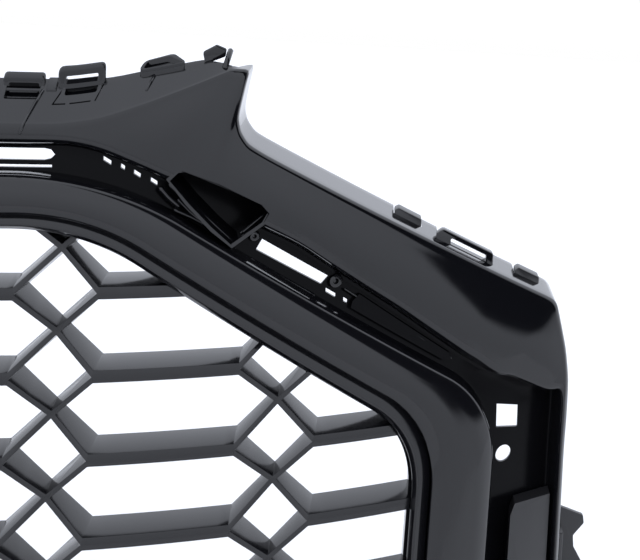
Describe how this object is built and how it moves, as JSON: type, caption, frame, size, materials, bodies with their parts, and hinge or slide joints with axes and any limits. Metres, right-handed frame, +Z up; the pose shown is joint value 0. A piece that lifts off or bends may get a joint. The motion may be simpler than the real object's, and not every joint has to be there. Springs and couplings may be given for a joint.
{
  "type": "front grille",
  "caption": "Car front grille: gloss black surround with headlight cut-outs, raised eight-sided frame, bezel, curved honeycomb insert, clips, covers and side brackets.",
  "frame": {"origin": "centre of the part's bounding box", "axes": "+X to the right across the car seen from the front, +Y backwards into the car, +Z up"},
  "size_m": [1.226, 0.4002, 0.6697],
  "materials": {
    "panel_gloss": "high gloss black moulded plastic",
    "frame_gloss": "gloss black moulded plastic",
    "insert_satin": "half gloss black moulded plastic",
    "clip_satin": "satin black moulded plastic",
    "zinc_steel": "zinc plated steel"
  },
  "bodies": {
    "root": {"surround_panel": "panel_gloss", "frame_trim": "frame_gloss", "inner_bezel": "frame_gloss", "honeycomb_insert": "insert_satin", "screw_01": "zinc_steel", "screw_02": "zinc_steel", "screw_03": "zinc_steel", "screw_04": "zinc_steel", "screw_05": "zinc_steel", "screw_06": "zinc_steel", "screw_07": "zinc_steel", "screw_08": "zinc_steel", "screw_09": "zinc_steel", "screw_10": "zinc_steel", "trim_clip_1": "zinc_steel", "trim_clip_2": "zinc_steel", "trim_clip_3": "zinc_steel", "trim_clip_4": "zinc_steel", "trim_clip_5": "zinc_steel", "trim_clip_6": "zinc_steel", "trim_clip_7": "zinc_steel", "trim_clip_8": "zinc_steel", "clip_socket_right": "clip_satin", "latch_loop_right": "clip_satin", "guide_box_right": "clip_satin", "edge_tab_right": "clip_satin", "headlight_lug_upper_right": "panel_gloss", "headlight_lug_lower_right": "panel_gloss", "headlight_loop_right": "panel_gloss", "slot_blank_right": "panel_gloss", "side_cover_right": "clip_satin", "side_bracket_right": "clip_satin", "clip_socket_left": "clip_satin", "latch_loop_left": "clip_satin", "guide_box_left": "clip_satin", "edge_tab_left": "clip_satin", "headlight_lug_upper_left": "panel_gloss", "headlight_lug_lower_left": "panel_gloss", "headlight_loop_left": "panel_gloss", "slot_blank_left": "panel_gloss", "side_cover_left": "clip_satin", "side_bracket_left": "clip_satin", "lower_rail": "insert_satin"}
  },
  "joints": []
}
